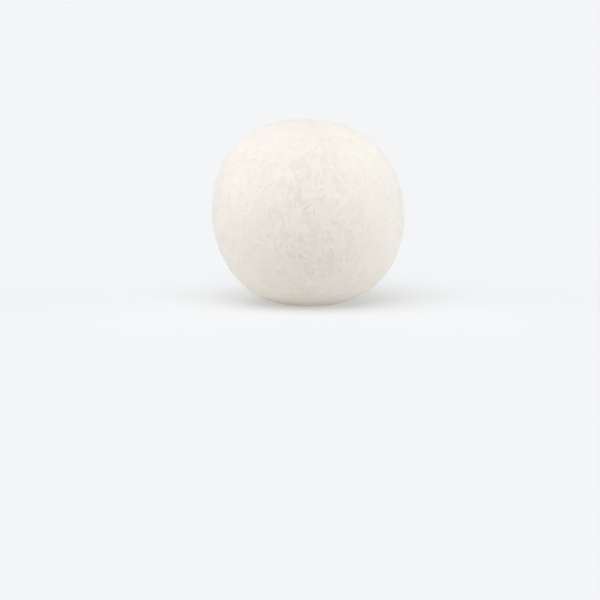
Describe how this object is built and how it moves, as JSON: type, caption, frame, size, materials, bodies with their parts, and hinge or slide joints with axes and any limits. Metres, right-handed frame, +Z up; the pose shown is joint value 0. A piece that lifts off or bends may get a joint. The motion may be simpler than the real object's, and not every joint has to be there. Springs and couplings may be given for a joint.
{
  "type": "dryer ball",
  "caption": "Reusable felted wool dryer ball, slightly out of round, with felted layers around a wound wool core and a small settled foot to rest on.",
  "frame": {"origin": "middle of the settled foot, on the surface the ball stands on and below the middle of its box", "axes": "+Z up out of the foot, through the ball's shortest way; +X along its widest way; -Y is the side the picture shows"},
  "size_m": [0.0748, 0.0742, 0.0715],
  "materials": {
    "outer_wool": "matted felt, faintly fuzzy, off-white",
    "middle_wool": "felted batt, cream",
    "inner_wool": "felted batt, cream",
    "core_wool": "tightly wound roving, natural cream"
  },
  "bodies": {
    "root": {"wound_core": "core_wool", "inner_batt_first": "inner_wool", "inner_batt_crossing": "inner_wool", "middle_batt_first": "middle_wool", "middle_batt_crossing": "middle_wool", "outer_batt_first": "outer_wool", "outer_batt_crossing": "outer_wool"}
  },
  "joints": []
}
